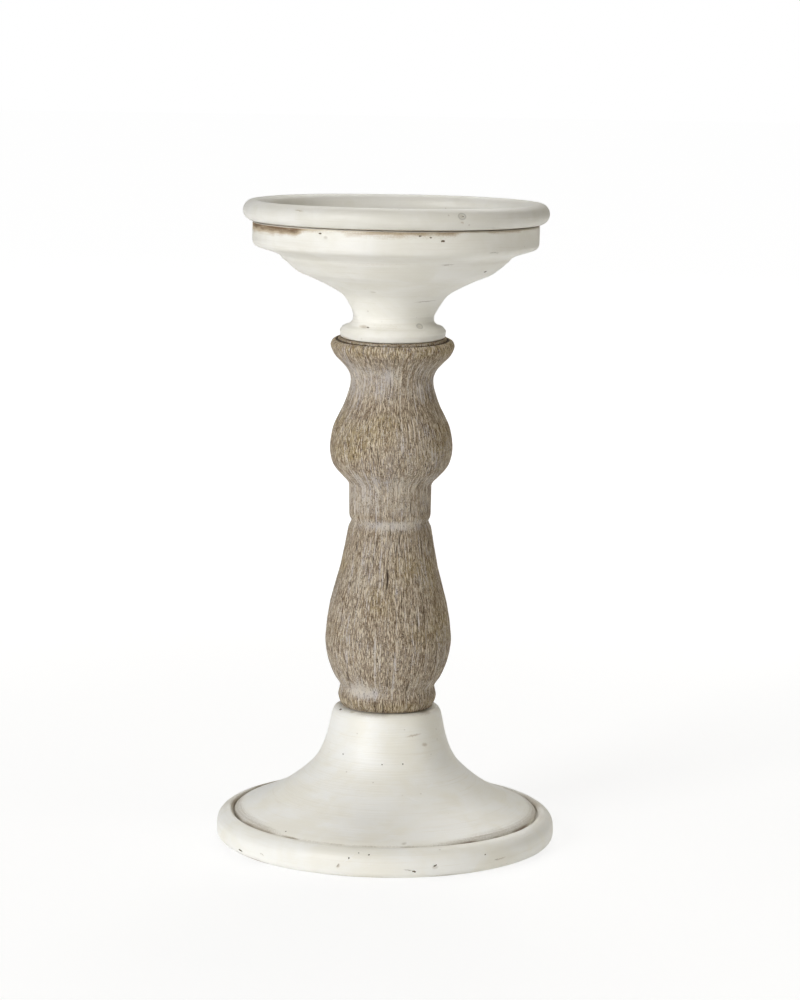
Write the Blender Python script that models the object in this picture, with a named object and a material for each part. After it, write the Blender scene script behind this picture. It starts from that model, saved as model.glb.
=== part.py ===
"""A turned wooden pillar-candle holder: dish, bowl and spindle clamped on a bell base by one tie rod.

Heights are millimetres above the surface it stands on, and radii are millimetres from its axis.
turned() scales both to metres. The object stands on Z = 0 with its axis on Z.
"""

import math

import bpy

MM = 0.001

# Driving sizes.
TOTAL_HEIGHT = 254.0
FIT = 0.3                 # gap left between neighbouring pieces
RIM_RADIUS = 59.75        # outside of the rolled rim
RIM_ROLL = 4.05           # half the thickness of the rim
DRUM_RADIUS = 56.0
DRUM_TOP = 245.6
DISH_FLOOR = 244.4
DISH_UNDERSIDE = 238.0
DISH_SPIGOT_RADIUS = 49.7
BOWL_FOOT = 201.2         # underside of the bowl's foot bead
COLUMN_TOP = 200.9
COLUMN_BOTTOM = 54.0
BELL_BOTTOM = 10.0
PLINTH_BOTTOM = 0.3
PLINTH_WIDEST = 6.0       # height at which the plinth's edge is widest
PLINTH_ROLL = 5.4         # radius of the edge above that
PLINTH_FOOT_ROLL = 3.0    # radius of the edge below it
PLINTH_RADIUS = 67.3

TENON_RADIUS = 10.0       # column's lower tenon, in the bell
TENON_LENGTH = 12.0
SPIGOT_RADIUS = 9.0       # bowl's lower spigot, in the column
SPIGOT_LENGTH = 10.5

ROD_RADIUS = 4.0          # M8 tie rod
ROD_BOTTOM = 12.0
ROD_TOP = 236.0
BORE_RADIUS = 4.5
COUNTERBORE_RADIUS = 13.5
BOWL_COUNTERBORE_FLOOR = 224.0
BELL_COUNTERBORE_ROOF = 26.0
NUT_HEIGHT = 6.5
NUT_ACROSS_FLATS = 13.0
WASHER_RADIUS = 12.0
WASHER_HEIGHT = 2.0
SPRING_WASHER_RADIUS = 7.2
SPRING_WASHER_HEIGHT = 2.0
SPRING_WASHER_SPLIT = 1.2

DOWEL_COUNT = 3
DOWEL_CIRCLE = 30.0
DOWEL_RADIUS = 3.0
DOWEL_BOTTOM = 230.0
DOWEL_TOP = 241.5

SCREW_COUNT = 4
SCREW_CIRCLE = 34.0
SCREW_RADIUS = 2.0
SCREW_HEAD_RADIUS = 3.9
SCREW_HEAD_HEIGHT = 2.4
SCREW_POINT_HEIGHT = 3.0
SCREW_BOTTOM = 3.2
SCREW_TOP = 21.0

PAD_COUNT = 4
PAD_CIRCLE = 54.0
PAD_RADIUS = 6.5
PAD_HEIGHT = 1.3
PAD_START_ANGLE = 45.0

PLINTH_RECESS_RADIUS = 45.5
PLINTH_RECESS_ROOF = 2.8
PLINTH_FLOOR = BELL_BOTTOM - FIT    # the plinth's upper face, under the bell

WIDE_SEGMENTS = 48
SLIM_SEGMENTS = 36
SMALL_SEGMENTS = 16
MERGE = 0.00002


# Outlines.

def arc(centre, radius, start, end, steps):
    """Points round a circle, from one angle to another in degrees, both ends included."""
    points = []
    for i in range(steps + 1):
        angle = math.radians(start + (end - start) * i / steps)
        points.append((centre[0] + radius * math.cos(angle), centre[1] + radius * math.sin(angle)))
    return points


def smooth(stations, steps):
    """A smooth curve through the stations, with each span in this many steps."""
    ends = [stations[0]] + stations + [stations[-1]]
    points = []
    for a, b, c, d in zip(ends, ends[1:], ends[2:], ends[3:]):
        for i in range(steps):
            t = i / steps
            weights = (
                -0.5 * t + t * t - 0.5 * t ** 3,
                1 - 2.5 * t * t + 1.5 * t ** 3,
                0.5 * t + 2 * t * t - 1.5 * t ** 3,
                -0.5 * t * t + 0.5 * t ** 3,
            )
            points.append(tuple(sum(w * p[k] for w, p in zip(weights, (a, b, c, d))) for k in (0, 1)))
    return points + [stations[-1]]


# Objects.

def material(name, colour, roughness, metallic=0.0):
    made = bpy.data.materials.new(name)
    made.use_nodes = True
    shader = made.node_tree.nodes["Principled BSDF"]
    shader.inputs["Base Color"].default_value = (*colour, 1.0)
    shader.inputs["Roughness"].default_value = roughness
    shader.inputs["Metallic"].default_value = metallic
    return made


def add_object(name, mesh, finish):
    obj = bpy.data.objects.new(name, mesh)
    bpy.context.scene.collection.objects.link(obj)
    if finish:
        mesh.materials.append(finish)
    else:
        obj.hide_render = True
        obj.display_type = "WIRE"
    return obj


def turned(name, outline, finish, segments, closed=True):
    """A turned solid. The outline runs down the outside and, when closed, back up the bore."""
    mesh = bpy.data.meshes.new(name)
    points = [(radius * MM, 0.0, height * MM) for radius, height in outline]
    edges = [(i, i + 1) for i in range(len(points) - 1)]
    if closed:
        edges.append((len(points) - 1, 0))
    mesh.from_pydata(points, edges, [])
    obj = add_object(name, mesh, finish)
    screw = obj.modifiers.new("turning", "SCREW")
    screw.axis = "Z"
    screw.angle = math.tau
    screw.steps = segments
    screw.render_steps = segments
    screw.use_merge_vertices = True
    screw.merge_threshold = MERGE
    screw.use_smooth_shade = True
    return obj


def prism(name, outline, bottom, top, finish=None):
    """A straight prism on a closed outline of (x, y) points in millimetres, counted anticlockwise."""
    count = len(outline)
    points = [(x * MM, y * MM, bottom * MM) for x, y in outline]
    points += [(x * MM, y * MM, top * MM) for x, y in outline]
    faces = [tuple(range(count - 1, -1, -1)), tuple(range(count, 2 * count))]
    for i in range(count):
        j = (i + 1) % count
        faces.append((i, j, count + j, count + i))
    mesh = bpy.data.meshes.new(name)
    mesh.from_pydata(points, [], faces)
    return add_object(name, mesh, finish)


def circle(radius, segments):
    return arc((0.0, 0.0), radius, 0.0, 360.0, segments)[:-1]


def cut(obj, cutter):
    boolean = obj.modifiers.new(cutter.name, "BOOLEAN")
    boolean.operation = "DIFFERENCE"
    boolean.solver = "EXACT"
    boolean.object = cutter


def place_round(obj, index, count, circle_radius, start=0.0):
    angle = math.radians(start + 360.0 * index / count)
    obj.location = (circle_radius * MM * math.cos(angle), circle_radius * MM * math.sin(angle), 0.0)
    obj.rotation_euler = (0.0, 0.0, angle)


def drill_round(obj, name, radius, bottom, top, count, circle_radius, start=0.0):
    """Blind or through holes on a circle round the axis."""
    for i in range(count):
        cutter = prism(f"{name}_{i + 1}", circle(radius, SMALL_SEGMENTS), bottom, top)
        place_round(cutter, i, count, circle_radius, start)
        cut(obj, cutter)


# Turned wood.

def make_candle_dish(finish):
    """Shallow dish with a rolled rim. Its underside drops into the bowl's drum."""
    roll_centre = (RIM_RADIUS - RIM_ROLL, TOTAL_HEIGHT - RIM_ROLL)
    floor_fillet = 3.4
    outline = [(0.0, DISH_FLOOR), (46.0, DISH_FLOOR)]
    outline += arc((46.5, DISH_FLOOR + floor_fillet), floor_fillet, -75.0, -20.0, 3)
    outline += arc(roll_centre, RIM_ROLL, 180.0, -90.0, 12)
    outline += [(DISH_SPIGOT_RADIUS, DRUM_TOP + FIT)]
    outline += [(DISH_SPIGOT_RADIUS, DISH_UNDERSIDE + 0.5)]
    outline += [(DISH_SPIGOT_RADIUS - 0.5, DISH_UNDERSIDE), (0.0, DISH_UNDERSIDE)]
    dish = turned("candle_dish", outline, finish, WIDE_SEGMENTS, closed=False)
    drill_round(
        dish, "dish_hole", DOWEL_RADIUS + FIT, DISH_UNDERSIDE - 1.0, DOWEL_TOP + FIT,
        DOWEL_COUNT, DOWEL_CIRCLE,
    )


def make_pan_bowl(finish):
    """Ogee bowl under a drum, with a neck, a foot bead and a spigot."""
    recess_floor = DISH_UNDERSIDE - FIT
    drum_corner = 2.6
    outline = [(DISH_SPIGOT_RADIUS + FIT, DRUM_TOP), (DRUM_RADIUS - 0.5, DRUM_TOP)]
    outline += [(DRUM_RADIUS, DRUM_TOP - 0.5)]
    outline += arc((DRUM_RADIUS - drum_corner, 238.4), drum_corner, 0.0, -75.0, 4)
    outline += [(50.2, 234.7), (46.8, 233.5), (45.3, 232.6), (44.5, 231.6)]
    outline += smooth(
        [(42.4, 229.8), (37.9, 226.2), (30.7, 223.1), (20.4, 217.3), (15.8, 209.6)], 2
    )
    outline += [(15.9, 207.4), (17.2, 206.0), (19.6, 205.1), (20.9, 203.6), (20.5, BOWL_FOOT)]
    outline += [(SPIGOT_RADIUS, BOWL_FOOT), (SPIGOT_RADIUS, BOWL_FOOT - SPIGOT_LENGTH + 0.6)]
    outline += [(SPIGOT_RADIUS - 0.6, BOWL_FOOT - SPIGOT_LENGTH), (BORE_RADIUS, BOWL_FOOT - SPIGOT_LENGTH)]
    outline += [(BORE_RADIUS, BOWL_COUNTERBORE_FLOOR), (COUNTERBORE_RADIUS, BOWL_COUNTERBORE_FLOOR)]
    outline += [(COUNTERBORE_RADIUS, recess_floor), (DISH_SPIGOT_RADIUS + FIT, recess_floor)]
    bowl = turned("pan_bowl", outline, finish, WIDE_SEGMENTS)
    drill_round(
        bowl, "bowl_hole", DOWEL_RADIUS + FIT, DOWEL_BOTTOM - FIT, recess_floor + 1.0,
        DOWEL_COUNT, DOWEL_CIRCLE,
    )


def make_column(finish):
    """Spindle: top lip, upper bulb, straight band, quirk, long belly, bottom bead and tenon."""
    mortise_radius = SPIGOT_RADIUS + FIT
    mortise_floor = BOWL_FOOT - SPIGOT_LENGTH - FIT
    collar_radius = 21.2
    band_top = 142.4
    band_bottom = 131.6
    outline = [(mortise_radius, COLUMN_TOP), (collar_radius, COLUMN_TOP)]
    outline += [(collar_radius, 200.2), (21.6, 199.5), (22.6, 200.0), (23.7, 199.3)]
    outline += smooth(
        [
            (24.3, 197.8), (22.7, 194.0), (17.3, 188.0), (16.2, 182.6), (18.8, 174.0),
            (22.6, 166.0), (24.0, 157.5), (22.8, 151.0), (19.8, 147.0), (17.0, 144.1),
        ],
        2,
    )
    outline += [(16.2, band_top), (16.0, band_bottom)]
    outline += [(15.8, 130.0), (15.0, 128.5), (15.5, 127.2), (16.1, 126.0)]
    outline += smooth(
        [
            (16.4, 124.6), (19.1, 110.0), (22.9, 96.0), (24.8, 82.0), (23.6, 72.5), (20.8, 65.6),
            (18.7, 62.3), (19.5, 58.4), (18.2, COLUMN_BOTTOM),
        ],
        2,
    )
    outline += [(TENON_RADIUS, COLUMN_BOTTOM), (TENON_RADIUS, COLUMN_BOTTOM - TENON_LENGTH + 0.6)]
    outline += [(TENON_RADIUS - 0.6, COLUMN_BOTTOM - TENON_LENGTH)]
    outline += [(BORE_RADIUS, COLUMN_BOTTOM - TENON_LENGTH), (BORE_RADIUS, mortise_floor)]
    outline += [(mortise_radius, mortise_floor)]
    turned("column", outline, finish, SLIM_SEGMENTS)


def make_base_bell(finish):
    """Bell with a rounded shoulder and a long cove, which ends in a small edge beside the plinth's groove."""
    bell_top = COLUMN_BOTTOM - FIT
    mortise_radius = TENON_RADIUS + FIT
    mortise_floor = COLUMN_BOTTOM - TENON_LENGTH - FIT
    shoulder = 2.6
    outline = [(mortise_radius, bell_top)]
    outline += arc((21.5 - shoulder, bell_top - shoulder), shoulder, 90.0, 12.0, 4)
    outline += smooth(
        [
            (22.3, 48.0), (24.3, 40.0), (28.4, 31.7), (36.5, 24.0), (45.8, 18.0), (57.4, 12.9),
        ],
        2,
    )
    outline += [(59.2, 12.1), (60.3, 11.2), (60.3, BELL_BOTTOM)]
    outline += [(COUNTERBORE_RADIUS, BELL_BOTTOM), (COUNTERBORE_RADIUS, BELL_COUNTERBORE_ROOF)]
    outline += [(BORE_RADIUS, BELL_COUNTERBORE_ROOF), (BORE_RADIUS, mortise_floor)]
    outline += [(mortise_radius, mortise_floor)]
    bell = turned("base_bell", outline, finish, WIDE_SEGMENTS)
    drill_round(
        bell, "bell_hole", SCREW_RADIUS + FIT, BELL_BOTTOM - 1.0, SCREW_TOP + FIT,
        SCREW_COUNT, SCREW_CIRCLE,
    )


def screw_outline(gap):
    """The wood screw's outline from its point down to its head, or its countersunk hole's with a gap."""
    cone_top = SCREW_BOTTOM + SCREW_HEAD_HEIGHT
    return [
        (0.0, SCREW_TOP + gap),
        (SCREW_RADIUS + gap, SCREW_TOP - SCREW_POINT_HEIGHT + gap),
        (SCREW_RADIUS + gap, cone_top),
        (SCREW_HEAD_RADIUS + gap, SCREW_BOTTOM + 0.4),
    ]


def make_base_plinth(finish):
    """Disc that closes the bell: a rolled edge, a quirk inside the edge, and a shallow hollow underneath."""
    roll_centre = (PLINTH_RADIUS - PLINTH_ROLL, PLINTH_WIDEST)
    foot_centre = (PLINTH_RADIUS - PLINTH_FOOT_ROLL, PLINTH_BOTTOM + PLINTH_FOOT_ROLL)
    outline = [(0.0, PLINTH_FLOOR), (60.9, PLINTH_FLOOR), (61.1, 10.8)]
    outline += arc(roll_centre, PLINTH_ROLL, 90.0, 0.0, 6)
    outline += arc(foot_centre, PLINTH_FOOT_ROLL, 0.0, -90.0, 5)
    outline += [(PLINTH_RECESS_RADIUS, PLINTH_BOTTOM), (PLINTH_RECESS_RADIUS - 1.5, PLINTH_RECESS_ROOF)]
    outline += [(0.0, PLINTH_RECESS_ROOF)]
    plinth = turned("base_plinth", outline, finish, WIDE_SEGMENTS, closed=False)
    for i in range(SCREW_COUNT):
        hole = screw_outline(FIT) + [(SCREW_HEAD_RADIUS + FIT, PLINTH_RECESS_ROOF - 1.0)]
        hole += [(0.0, PLINTH_RECESS_ROOF - 1.0)]
        cutter = turned(f"plinth_hole_{i + 1}", hole, None, SMALL_SEGMENTS, closed=False)
        place_round(cutter, i, SCREW_COUNT, SCREW_CIRCLE)
        cut(plinth, cutter)
    drill_round(
        plinth, "pad_pocket", PAD_RADIUS + FIT, PLINTH_BOTTOM - 1.0, PAD_HEIGHT + FIT,
        PAD_COUNT, PAD_CIRCLE, PAD_START_ANGLE,
    )


# Hardware inside.

def make_tie_rod(finish):
    chamfer = 0.8
    thread_radius = ROD_RADIUS - 0.1
    outline = [(0.0, ROD_TOP), (thread_radius - chamfer, ROD_TOP), (thread_radius, ROD_TOP - chamfer)]
    outline += [(thread_radius, ROD_BOTTOM + chamfer), (thread_radius - chamfer, ROD_BOTTOM)]
    outline += [(0.0, ROD_BOTTOM)]
    turned("tie_rod", outline, finish, SMALL_SEGMENTS, closed=False)


def make_washer(name, bottom, outer_radius, height, finish):
    inner_radius = ROD_RADIUS + FIT
    edge = 0.3
    outline = [(inner_radius, bottom + height), (outer_radius - edge, bottom + height)]
    outline += [(outer_radius, bottom + height - edge), (outer_radius, bottom)]
    outline += [(inner_radius, bottom)]
    return turned(name, outline, finish, SLIM_SEGMENTS)


def make_spring_washer(name, bottom, finish):
    """A ring with a slanting split."""
    ring = make_washer(name, bottom, SPRING_WASHER_RADIUS, SPRING_WASHER_HEIGHT, finish)
    half = SPRING_WASHER_SPLIT / 2
    reach = SPRING_WASHER_RADIUS + 2.0
    lean = 1.0
    outline = [(0.0, -half), (reach, -half), (reach, half), (0.0, half)]
    split = prism(f"{name}_split", outline, bottom - 1.0, bottom + SPRING_WASHER_HEIGHT + 1.0)
    for i, vertex in enumerate(split.data.vertices):
        vertex.co.y += (lean if i >= len(outline) else -lean) * MM
    cut(ring, split)


def make_nut(name, bottom, finish):
    """Hexagon nut: a prism with its corners turned off, and a bore for the rod."""
    corner_radius = NUT_ACROSS_FLATS / math.sqrt(3.0)
    hexagon = circle(corner_radius, 6)
    nut = prism(name, hexagon, bottom, bottom + NUT_HEIGHT, finish)
    bore = circle(ROD_RADIUS + FIT, SMALL_SEGMENTS)
    cut(nut, prism(f"{name}_bore", bore, bottom - 1.0, bottom + NUT_HEIGHT + 1.0))
    chamfer = nut.modifiers.new("turned corners", "BOOLEAN")
    chamfer.operation = "INTERSECT"
    envelope = nut_envelope(bottom, corner_radius)
    chamfer.object = turned(f"{name}_chamfer", envelope, None, SLIM_SEGMENTS, closed=False)


def nut_envelope(bottom, corner_radius):
    """The double cone that rounds off a nut's twelve corners."""
    top = bottom + NUT_HEIGHT
    face_radius = NUT_ACROSS_FLATS / 2 * 0.97
    wide = corner_radius + 1.0
    drop = (wide - face_radius) * math.tan(math.radians(30.0))
    return [
        (0.0, top), (face_radius, top), (wide, top - drop),
        (wide, bottom + drop), (face_radius, bottom), (0.0, bottom),
    ]


def make_dish_dowels(finish):
    """Grooveless glue dowels between the dish and the bowl."""
    chamfer = 0.6
    outline = [(0.0, DOWEL_TOP), (DOWEL_RADIUS - chamfer, DOWEL_TOP), (DOWEL_RADIUS, DOWEL_TOP - chamfer)]
    outline += [(DOWEL_RADIUS, DOWEL_BOTTOM + chamfer), (DOWEL_RADIUS - chamfer, DOWEL_BOTTOM)]
    outline += [(0.0, DOWEL_BOTTOM)]
    for i in range(DOWEL_COUNT):
        dowel = turned(f"dish_dowel_{i + 1}", outline, finish, SMALL_SEGMENTS, closed=False)
        place_round(dowel, i, DOWEL_COUNT, DOWEL_CIRCLE)


def cross_outline(reach, half_width):
    """A plus sign, anticlockwise."""
    w = half_width
    return [
        (reach, -w), (reach, w), (w, w), (w, reach), (-w, reach), (-w, w),
        (-reach, w), (-reach, -w), (-w, -w), (-w, -reach), (w, -reach), (w, -w),
    ]


def make_plinth_screws(finish):
    """Countersunk wood screws, driven up through the plinth into the bell."""
    recess_depth = 1.4
    for i in range(SCREW_COUNT):
        outline = screw_outline(0.0) + [(SCREW_HEAD_RADIUS, SCREW_BOTTOM), (0.0, SCREW_BOTTOM)]
        screw = turned(f"plinth_screw_{i + 1}", outline, finish, SMALL_SEGMENTS, closed=False)
        place_round(screw, i, SCREW_COUNT, SCREW_CIRCLE)
        driver = prism(
            f"screw_recess_{i + 1}", cross_outline(1.9, 0.45),
            SCREW_BOTTOM - 1.0, SCREW_BOTTOM + recess_depth,
        )
        place_round(driver, i, SCREW_COUNT, SCREW_CIRCLE)
        cut(screw, driver)


def make_felt_pads(finish):
    edge = 0.25
    outline = [(0.0, PAD_HEIGHT), (PAD_RADIUS, PAD_HEIGHT), (PAD_RADIUS, edge)]
    outline += [(PAD_RADIUS - edge, 0.0), (0.0, 0.0)]
    for i in range(PAD_COUNT):
        pad = turned(f"felt_pad_{i + 1}", outline, finish, SMALL_SEGMENTS, closed=False)
        place_round(pad, i, PAD_COUNT, PAD_CIRCLE, PAD_START_ANGLE)


def main():
    for obj in list(bpy.data.objects):
        bpy.data.objects.remove(obj, do_unlink=True)

    paint = material("cream_paint", (0.72, 0.70, 0.62), 0.45)
    washed_wood = material("whitewashed_wood", (0.36, 0.29, 0.21), 0.75)
    plain_wood = material("beech", (0.62, 0.46, 0.29), 0.6)
    steel = material("zinc_steel", (0.55, 0.56, 0.58), 0.35, 1.0)
    felt = material("grey_felt", (0.12, 0.11, 0.10), 0.95)

    make_candle_dish(paint)
    make_pan_bowl(paint)
    make_column(washed_wood)
    make_base_bell(paint)
    make_base_plinth(paint)

    make_tie_rod(steel)
    make_washer("top_washer", BOWL_COUNTERBORE_FLOOR + FIT, WASHER_RADIUS, WASHER_HEIGHT, steel)
    make_nut("top_nut", BOWL_COUNTERBORE_FLOOR + 2 * FIT + WASHER_HEIGHT, steel)
    washer_bottom = BELL_COUNTERBORE_ROOF - FIT - WASHER_HEIGHT
    make_washer("bottom_washer", washer_bottom, WASHER_RADIUS, WASHER_HEIGHT, steel)
    spring_bottom = washer_bottom - FIT - SPRING_WASHER_HEIGHT
    make_spring_washer("bottom_spring_washer", spring_bottom, steel)
    make_nut("bottom_nut", spring_bottom - FIT - NUT_HEIGHT, steel)

    make_dish_dowels(plain_wood)
    make_plinth_screws(steel)
    make_felt_pads(felt)


main()
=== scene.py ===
"""The looks of a turned wooden candlestick: brushed cream paint, rubbed back and glazed, on the dish, bowl
and base, and a bare, wire-brushed, whitewashed column. Outlines are read from the frame, then turned again
with fine relief. Sizes here are in millimetres, and Blender's objects, stage and camera are in metres.
"""

import math

import bmesh
import bpy
import numpy as np
from mathutils import Matrix, Vector


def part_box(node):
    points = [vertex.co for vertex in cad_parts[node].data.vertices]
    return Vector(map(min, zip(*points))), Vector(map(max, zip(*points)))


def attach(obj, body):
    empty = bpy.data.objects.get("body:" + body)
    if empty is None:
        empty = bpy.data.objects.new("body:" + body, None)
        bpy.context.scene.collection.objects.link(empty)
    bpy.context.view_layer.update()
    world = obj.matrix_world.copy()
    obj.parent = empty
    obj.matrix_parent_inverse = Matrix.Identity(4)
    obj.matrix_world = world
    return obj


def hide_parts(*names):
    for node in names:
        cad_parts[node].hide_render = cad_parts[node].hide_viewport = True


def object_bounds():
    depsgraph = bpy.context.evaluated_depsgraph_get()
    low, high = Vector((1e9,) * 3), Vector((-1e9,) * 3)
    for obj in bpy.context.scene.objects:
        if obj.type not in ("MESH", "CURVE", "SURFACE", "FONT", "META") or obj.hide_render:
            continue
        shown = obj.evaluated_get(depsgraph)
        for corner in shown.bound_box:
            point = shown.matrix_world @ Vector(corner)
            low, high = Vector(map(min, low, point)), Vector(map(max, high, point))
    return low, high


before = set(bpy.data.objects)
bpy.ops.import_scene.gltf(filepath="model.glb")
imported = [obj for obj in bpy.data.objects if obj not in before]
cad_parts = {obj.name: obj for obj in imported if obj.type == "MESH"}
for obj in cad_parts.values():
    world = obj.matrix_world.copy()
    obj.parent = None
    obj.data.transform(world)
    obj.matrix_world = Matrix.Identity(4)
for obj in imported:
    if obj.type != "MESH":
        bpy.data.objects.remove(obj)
CAD_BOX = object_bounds()

MM = 0.001
TURN = math.tau
BODY = "root"


# -------- making objects

def add_object(name, data):
    thing = bpy.data.objects.new(name, data)
    bpy.context.scene.collection.objects.link(thing)
    return thing


def add_mesh(name, points, faces, material=None):
    mesh = bpy.data.meshes.new(name)
    mesh.from_pydata(points, [], faces)
    if material:
        mesh.materials.append(material)
    return add_object(name, mesh)


def circle_points(radius, height, sides, centre=(0.0, 0.0)):
    turn = [TURN * i / sides for i in range(sides)]
    return [(centre[0] + radius * math.cos(t), centre[1] + radius * math.sin(t), height) for t in turn]


def ring_faces(rings, sides, first=0, down=False):
    """Quads from each ring to the next, facing out where the rings run up, or down if down is set."""
    faces = []
    for ring in range(rings - 1):
        a, b = first + ring * sides, first + (ring + 1) * sides
        for i in range(sides):
            j = (i + 1) % sides
            faces.append((a + i, b + i, b + j, a + j) if down else (a + i, a + j, b + j, b + i))
    return faces


# -------- camera and stage

CAMERA_AT = (0.00391, -1.21137, 0.31588)
CAMERA_PITCH = 8.433  # degrees below level
CAMERA_ROLL = 0.933  # degrees; the column leans a little in the view
CAMERA_LENS = 111.58  # on a 36 mm long side


def make_camera():
    data = bpy.data.cameras.new("camera")
    data.sensor_width = 36.0
    data.lens = CAMERA_LENS
    data.clip_start = 0.01
    data.clip_end = 50.0
    camera = add_object("camera", data)
    tilt = Matrix.Rotation(math.radians(90.0 - CAMERA_PITCH), 4, "X")
    roll = Matrix.Rotation(math.radians(CAMERA_ROLL), 4, "Z")
    camera.matrix_world = Matrix.Translation(CAMERA_AT) @ tilt @ roll
    bpy.context.scene.camera = camera


def area_light(name, azimuth, elevation, distance, width, height, power, colour):
    """A softbox aimed at the middle of the object. Azimuth 0 is in front, and negative is to the left."""
    data = bpy.data.lights.new(name, "AREA")
    data.shape = "RECTANGLE"
    data.size = width
    data.size_y = height
    data.energy = power
    data.color = colour
    light = add_object(name, data)
    away = Matrix.Rotation(math.radians(azimuth), 3, "Z") @ Matrix.Rotation(-math.radians(elevation), 3, "X")
    direction = away @ Vector((0.0, -1.0, 0.0))
    light.location = (CAD_BOX[0] + CAD_BOX[1]) / 2 + direction * distance
    light.rotation_mode = "QUATERNION"
    light.rotation_quaternion = direction.to_track_quat("Z", "Y")


def stage_disc(name, reach, material, height=0.0):
    """A flat round floor."""
    sides = 96
    disc = add_mesh(name, circle_points(reach, height, sides), [tuple(range(sides))], material)
    return disc


def stage_dome(reach, material):
    """A white dome behind everything, from overhead to a little below the horizon."""
    sides, rings = 64, 16
    points = [(0.0, 0.0, reach)]
    for ring in range(1, rings + 1):
        tilt = math.radians(95.4 * ring / rings)
        points += circle_points(reach * math.sin(tilt), reach * math.cos(tilt), sides)
    faces = [(0, 1 + (i + 1) % sides, 1 + i) for i in range(sides)] + ring_faces(rings, sides, 1)
    dome = add_mesh("backdrop", points, faces, material)
    return dome


def shown_only(thing):
    """Seen, but neither lights the object nor shades it."""
    for ray in ("diffuse", "glossy", "transmission", "shadow"):
        setattr(thing, "visible_" + ray, False)


def make_stage():
    """White paper to every side, within every view's far clip. The floor that is seen sheds no light, and
    another, unseen, bounces what light it should."""
    scene = bpy.context.scene
    scene.view_settings.view_transform = "Standard"
    scene.view_settings.look = "None"

    world = bpy.data.worlds.new("studio")
    scene.world = world
    world.use_nodes = True
    background = world.node_tree.nodes["Background"]
    background.inputs["Color"].default_value = (1.0, 0.98, 0.95, 1.0)
    background.inputs["Strength"].default_value = 0.08

    grey, white = ((132, 132, 131), (136, 136, 135)), ((243, 243, 242), (247, 247, 246))
    shown_only(stage_disc("floor", 13.0, floor_paper("floor_paper", grey, 0.80, 0.97)))
    shown_only(stage_dome(12.0, backdrop_paper()))
    bounce = stage_disc("floor_bounce", 6.0, floor_paper("floor_bounce", white, 0.15, 0.15), -0.0004)
    bounce.visible_camera = False

    area_light("key_softbox", -42.0, 19.0, 2.1, 0.75, 1.30, 29.5, (1.0, 0.995, 0.985))
    area_light("fill_softbox", 62.0, 36.0, 2.0, 1.1, 1.2, 7.8, (1.0, 0.94, 0.81))
    area_light("back_softbox", 172.0, 50.0, 2.0, 1.4, 1.2, 17.5, (1.0, 0.99, 0.96))


# -------- node helpers

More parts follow.
